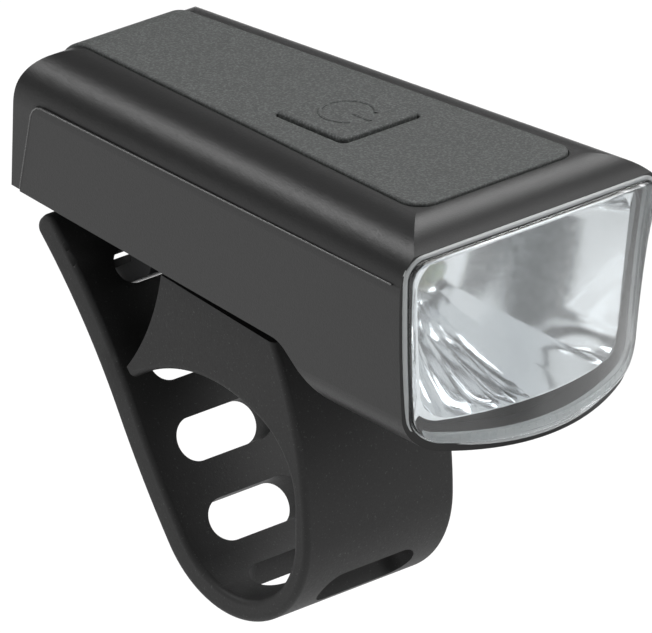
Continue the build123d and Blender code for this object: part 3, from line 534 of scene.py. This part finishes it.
# Floor: a pale sweep. The camera sees most of it as plain white, so the shadow on it stays faint.
FLOOR_REACH = 6.0
CAMERA_WHITE = 0.84
PATCH_LEVEL = 0.22
floor_corners = [(x * FLOOR_REACH, y * FLOOR_REACH, FLOOR_Z)
                 for x, y in ((-1, -1), (1, -1), (1, 1), (-1, 1))]
floor_mesh = bpy.data.meshes.new("studio_floor")
floor_mesh.from_pydata(floor_corners, [], [(0, 1, 2, 3)])
floor_material = bpy.data.materials.new("pale_paper_sweep")
floor_material.use_nodes = True
tree = floor_material.node_tree
tree.nodes.clear()
rays = put(tree, "ShaderNodeLightPath").outputs
indirect = put(tree, "ShaderNodeMath", [(rays["Is Glossy Ray"], 0), (rays["Is Transmission Ray"], 1)],
               operation="MAXIMUM")
direct = put(tree, "ShaderNodeMath", [(rays["Is Camera Ray"], 0)], operation="MULTIPLY",
             in_1=CAMERA_WHITE)
lift = put(tree, "ShaderNodeMath", [(direct.outputs[0], 0), (indirect.outputs[0], 1)],
           operation="MAXIMUM")
paper = put(tree, "ShaderNodeBsdfDiffuse", in_Color=linear("#f4f4f4"))
# A darker patch ahead and to the right, for mirror and glass rays only: the channels' dark streaks
spot = put(tree, "ShaderNodeSeparateXYZ", [(put(tree, "ShaderNodeTexCoord").outputs["Object"], 0)])
right = put(tree, "ShaderNodeMapRange", [(spot.outputs["X"], "Value")], interpolation_type="SMOOTHSTEP",
            in_From_Min=0.03, in_From_Max=0.07, in_To_Min=0.0, in_To_Max=1.0)
ahead = put(tree, "ShaderNodeMapRange", [(spot.outputs["Y"], "Value")], interpolation_type="SMOOTHSTEP",
            in_From_Min=-0.38, in_From_Max=-0.3, in_To_Min=1.0, in_To_Max=0.0)
patch = put(tree, "ShaderNodeMath", [(right.outputs[0], 0), (ahead.outputs[0], 1)], operation="MULTIPLY")
shade = put(tree, "ShaderNodeMapRange", [(patch.outputs[0], "Value")], in_To_Min=1.0,
            in_To_Max=PATCH_LEVEL)
strength = put(tree, "ShaderNodeMath", [(rays["Is Camera Ray"], 0), (shade.outputs[0], 1)],
               operation="MAXIMUM")
glow = put(tree, "ShaderNodeEmission", [(strength.outputs[0], "Strength")])
sweep = put(tree, "ShaderNodeMixShader",
            [(lift.outputs[0], 0), (paper.outputs[0], 1), (glow.outputs[0], 2)])
put(tree, "ShaderNodeOutputMaterial", [(sweep.outputs[0], "Surface")])
floor = new_piece("studio_floor", floor_mesh, floor_material)

# Room: white to the camera, even and dim as a light, and with brighter parts for mirror and glass rays
ROOM_LIGHT = 0.36
ROOM_SHINE = 0.14
# Brighter parts: direction, the cosines where each begins and is full, and what it adds
bright_parts = [
    ((-0.25, -0.96, -0.05), 0.85, 0.95, 0.86), ((-0.9, -0.42, 0.05), 0.8, 0.97, 0.14),
    ((-0.2, -0.45, 0.87), 0.85, 0.97, 0.8),
]
world = bpy.data.worlds.new("studio")
bpy.context.scene.world = world
world.use_nodes = True
tree = world.node_tree
tree.nodes.clear()
rays = put(tree, "ShaderNodeLightPath").outputs
direction = put(tree, "ShaderNodeTexCoord").outputs["Generated"]
total = put(tree, "ShaderNodeValue")
total.outputs[0].default_value = ROOM_SHINE
for toward, edge, core, gain in bright_parts:
    facing = put(tree, "ShaderNodeVectorMath", [(direction, 0)], operation="DOT_PRODUCT",
                 in_1=Vector(toward).normalized())
    part = put(tree, "ShaderNodeMapRange", [(facing.outputs["Value"], "Value")],
               interpolation_type="SMOOTHSTEP", in_From_Min=edge, in_From_Max=core, in_To_Min=0.0,
               in_To_Max=gain)
    total = put(tree, "ShaderNodeMath", [(part.outputs[0], 0), (total.outputs[0], 1)], operation="ADD")
shine = put(tree, "ShaderNodeBackground", [(total.outputs[0], "Strength")], in_Color=linear("#ffffff"))
room = put(tree, "ShaderNodeBackground", in_Color=linear("#ffffff"), in_Strength=ROOM_LIGHT)
white = put(tree, "ShaderNodeBackground", in_Color=linear("#ffffff"), in_Strength=1.0)
gloss_or_glass = put(tree, "ShaderNodeMath",
                     [(rays["Is Glossy Ray"], 0), (rays["Is Transmission Ray"], 1)], operation="MAXIMUM")
lit = put(tree, "ShaderNodeMixShader",
          [(gloss_or_glass.outputs[0], 0), (room.outputs[0], 1), (shine.outputs[0], 2)])
mixed = put(tree, "ShaderNodeMixShader",
            [(rays["Is Camera Ray"], 0), (lit.outputs[0], 1), (white.outputs[0], 2)])
put(tree, "ShaderNodeOutputWorld", [(mixed.outputs[0], "Surface")])


def soft_light(name, offset, size, power):
    """A square softbox that faces the headlight's middle, with its offset and size in metres."""
    lamp = bpy.data.lights.new(name, "AREA")
    lamp.shape = "SQUARE"
    lamp.size = size
    lamp.energy = power
    box = bpy.data.objects.new(name, lamp)
    bpy.context.scene.collection.objects.link(box)
    box.location = AIM + Vector(offset)
    box.rotation_euler = (box.location - AIM).to_track_quat("Z", "Y").to_euler()


soft_light("top_softbox", (0.1, 0.1, 0.9), 0.7, 3.8)
soft_light("shoulder_softbox", (-0.36, 0.61, 0.56), 0.3, 2.8)
soft_light("front_softbox", (0.5, -0.5, 0.5), 0.6, 4.5)
soft_light("side_softbox", (-0.8, 0.25, 0.15), 0.5, 0.8)
soft_light("lip_softbox", (0.57, 0.31, 0.68), 0.4, 2.8)
